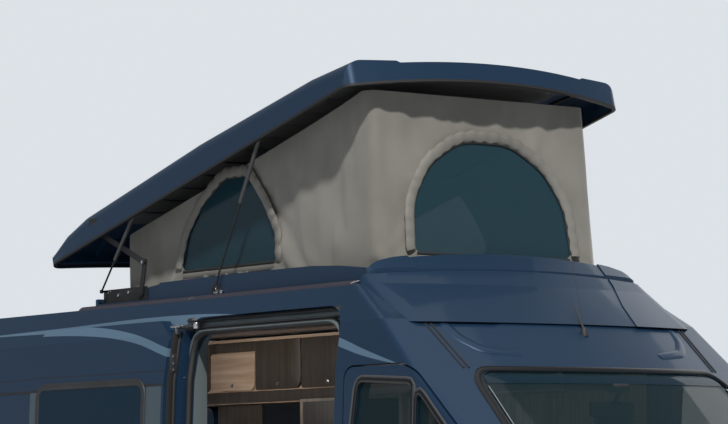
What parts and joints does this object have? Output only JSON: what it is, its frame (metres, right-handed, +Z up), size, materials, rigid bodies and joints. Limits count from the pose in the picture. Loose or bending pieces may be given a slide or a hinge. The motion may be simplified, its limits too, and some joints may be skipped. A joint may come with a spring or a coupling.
{
  "type": "high-roof camper van with pop-up roof",
  "caption": "Long high-roof panel-van camper with its pop-up roof tent raised and its sliding side door slid open.",
  "frame": {"origin": "on the ground under the middle of the vehicle's box", "axes": "+X to the front of the van, +Y to its left side, +Z up"},
  "size_m": [5.9978, 2.508, 3.5089],
  "materials": {
    "body_paint": "satin",
    "roof_plastic": "gloss",
    "dark_plastic": "matte",
    "seal_rubber": "matte",
    "window_glass": "gloss",
    "lamp_glass": "gloss",
    "tyre": "matte",
    "wheel_alloy": "satin",
    "chassis_steel": "satin",
    "bright_steel": "satin",
    "tent_cloth": "matte",
    "tent_film": "gloss",
    "light_wood": "satin",
    "upholstery": "matte",
    "interior_plastic": "matte"
  },
  "bodies": {
    "body": {"floor_pan": "body_paint", "side_panel_left": "body_paint", "side_panel_right": "body_paint", "roof_panel": "body_paint", "windscreen_frame": "body_paint", "front_wings": "body_paint", "front_bumper": "body_paint", "sliding_door": "body_paint", "roof_cap": "roof_plastic", "roof_tray": "roof_plastic", "grille": "dark_plastic", "rear_bumper": "dark_plastic", "windscreen": "window_glass", "sliding_door_window": "window_glass", "side_window_left": "window_glass", "headlamps": "lamp_glass", "tail_lamps": "lamp_glass", "chassis_rails": "chassis_steel", "front_suspension": "chassis_steel", "rear_axle": "chassis_steel", "engine_block": "chassis_steel", "tray_brackets": "chassis_steel", "tent_fabric": "tent_cloth", "tent_windows": "tent_film", "overhead_lockers": "light_wood", "kitchen_unit": "light_wood", "washroom": "light_wood", "rear_bed": "light_wood", "seats": "upholstery", "dashboard": "interior_plastic"},
    "bonnet": {"bonnet": "body_paint"},
    "left_cab_door": {"cab_door_left": "body_paint", "cab_window_left": "window_glass", "mirror_left": "dark_plastic"},
    "right_cab_door": {"cab_door_right": "body_paint", "cab_window_right": "window_glass", "mirror_right": "dark_plastic"},
    "left_rear_door": {"rear_door_left": "body_paint", "rear_window_left": "window_glass"},
    "right_rear_door": {"rear_door_right": "body_paint", "rear_window_right": "window_glass"},
    "pop_up_roof": {"roof_shell": "roof_plastic", "shell_frame": "seal_rubber"},
    "roof_links": {"roof_links": "chassis_steel"},
    "roof_arms": {"roof_arms": "chassis_steel"},
    "mid_strut_barrels": {"mid_strut_barrels": "chassis_steel"},
    "mid_strut_rods": {"mid_strut_rods": "bright_steel"},
    "rear_strut_barrels": {"rear_strut_barrels": "chassis_steel"},
    "rear_strut_rods": {"rear_strut_rods": "bright_steel"},
    "steering_wheel": {"steering_wheel": "interior_plastic"},
    "left_knuckle": {"knuckle_left": "chassis_steel"},
    "right_knuckle": {"knuckle_right": "chassis_steel"},
    "wheel_front_left": {"tyre_front_left": "tyre", "rim_front_left": "wheel_alloy"},
    "wheel_front_right": {"tyre_front_right": "tyre", "rim_front_right": "wheel_alloy"},
    "wheel_rear_left": {"tyre_rear_left": "tyre", "rim_rear_left": "wheel_alloy"},
    "wheel_rear_right": {"tyre_rear_right": "tyre", "rim_rear_right": "wheel_alloy"}
  },
  "joints": [
    {"name": "bonnet_open", "type": "hinge", "parent": "body", "child": "bonnet", "pos_m": [2.4, 0, 1.25], "axis": [0, -1, 0], "range_deg": [0, 50]},
    {"name": "left_cab_door_open", "type": "hinge", "parent": "body", "child": "left_cab_door", "pos_m": [2.175, 1.01, 1.2], "axis": [0, 0, -1], "range_deg": [0, 68]},
    {"name": "right_cab_door_open", "type": "hinge", "parent": "body", "child": "right_cab_door", "pos_m": [2.175, -1.01, 1.2], "axis": [0, 0, 1], "range_deg": [0, 68]},
    {"name": "left_rear_door_open", "type": "hinge", "parent": "body", "child": "left_rear_door", "pos_m": [-2.975, 0.945, 1.45], "axis": [0, 0, -1], "range_deg": [0, 180]},
    {"name": "right_rear_door_open", "type": "hinge", "parent": "body", "child": "right_rear_door", "pos_m": [-2.975, -0.945, 1.45], "axis": [0, 0, 1], "range_deg": [0, 180]},
    {"name": "roof_close", "type": "hinge", "parent": "body", "child": "pop_up_roof", "pos_m": [-2.953, 0, 2.294], "axis": [0, 1, 0], "range_deg": [0, 13.5], "deforming": ["tent_fabric", "tent_windows"]},
    {"name": "link_fold", "type": "hinge", "parent": "body", "child": "roof_links", "pos_m": [-1.22, 0, 2.494], "axis": [0, 1, 0], "range_deg": [-1, 70]},
    {"name": "arm_fold", "type": "hinge", "parent": "roof_links", "child": "roof_arms", "pos_m": [-1.181, 0, 2.657], "axis": [0, 1, 0], "range_deg": [-93, 1]},
    {"name": "mid_strut_swing", "type": "hinge", "parent": "pop_up_roof", "child": "mid_strut_barrels", "pos_m": [-0.066, 0, 3.2], "axis": [0, 1, 0], "range_deg": [-1, 45]},
    {"name": "mid_strut_stroke", "type": "slide", "parent": "mid_strut_barrels", "child": "mid_strut_rods", "axis": [0.4924, 0, 0.8704], "range_m": [0, 0.295]},
    {"name": "rear_strut_swing", "type": "hinge", "parent": "pop_up_roof", "child": "rear_strut_barrels", "pos_m": [-1.218, 0, 2.909], "axis": [0, 1, 0], "range_deg": [-1, 42]},
    {"name": "rear_strut_stroke", "type": "slide", "parent": "rear_strut_barrels", "child": "rear_strut_rods", "axis": [0.6466, 0, 0.7629], "range_m": [0, 0.085]},
    {"name": "steer_left", "type": "hinge", "parent": "body", "child": "left_knuckle", "pos_m": [2.051, 0.8, 0.364], "axis": [0, 0, 1], "range_deg": [-35, 35]},
    {"name": "steer_right", "type": "hinge", "parent": "body", "child": "right_knuckle", "pos_m": [2.051, -0.8, 0.364], "axis": [0, 0, 1], "range_deg": [-35, 35]},
    {"name": "steering_wheel_turn", "type": "hinge", "parent": "body", "child": "steering_wheel", "pos_m": [1.65, 0.43, 1.235], "axis": [-0.8829, 0, 0.4695], "range_deg": [-545, 545]},
    {"name": "front_left_roll", "type": "hinge", "parent": "left_knuckle", "child": "wheel_front_left", "pos_m": [2.051, 0.905, 0.364], "axis": [0, 1, 0], "continuous": true},
    {"name": "front_right_roll", "type": "hinge", "parent": "right_knuckle", "child": "wheel_front_right", "pos_m": [2.051, -0.905, 0.364], "axis": [0, 1, 0], "continuous": true},
    {"name": "rear_left_roll", "type": "hinge", "parent": "body", "child": "wheel_rear_left", "pos_m": [-1.984, 0.895, 0.364], "axis": [0, 1, 0], "continuous": true},
    {"name": "rear_right_roll", "type": "hinge", "parent": "body", "child": "wheel_rear_right", "pos_m": [-1.984, -0.895, 0.364], "axis": [0, 1, 0], "continuous": true}
  ],
  "couplings": [
    {"joint": "link_fold", "follows": "roof_close", "ratio": 5.052},
    {"joint": "arm_fold", "follows": "roof_close", "ratio": -6.7979},
    {"joint": "mid_strut_swing", "follows": "roof_close", "ratio": 3.2402},
    {"joint": "mid_strut_stroke", "follows": "roof_close", "m_per_rad": 1.244},
    {"joint": "rear_strut_swing", "follows": "roof_close", "ratio": 3.0328},
    {"joint": "rear_strut_stroke", "follows": "roof_close", "m_per_rad": 0.34887},
    {"joint": "steer_right", "follows": "steer_left", "ratio": 1},
    {"joint": "steering_wheel_turn", "follows": "steer_left", "ratio": 15.4}
  ]
}
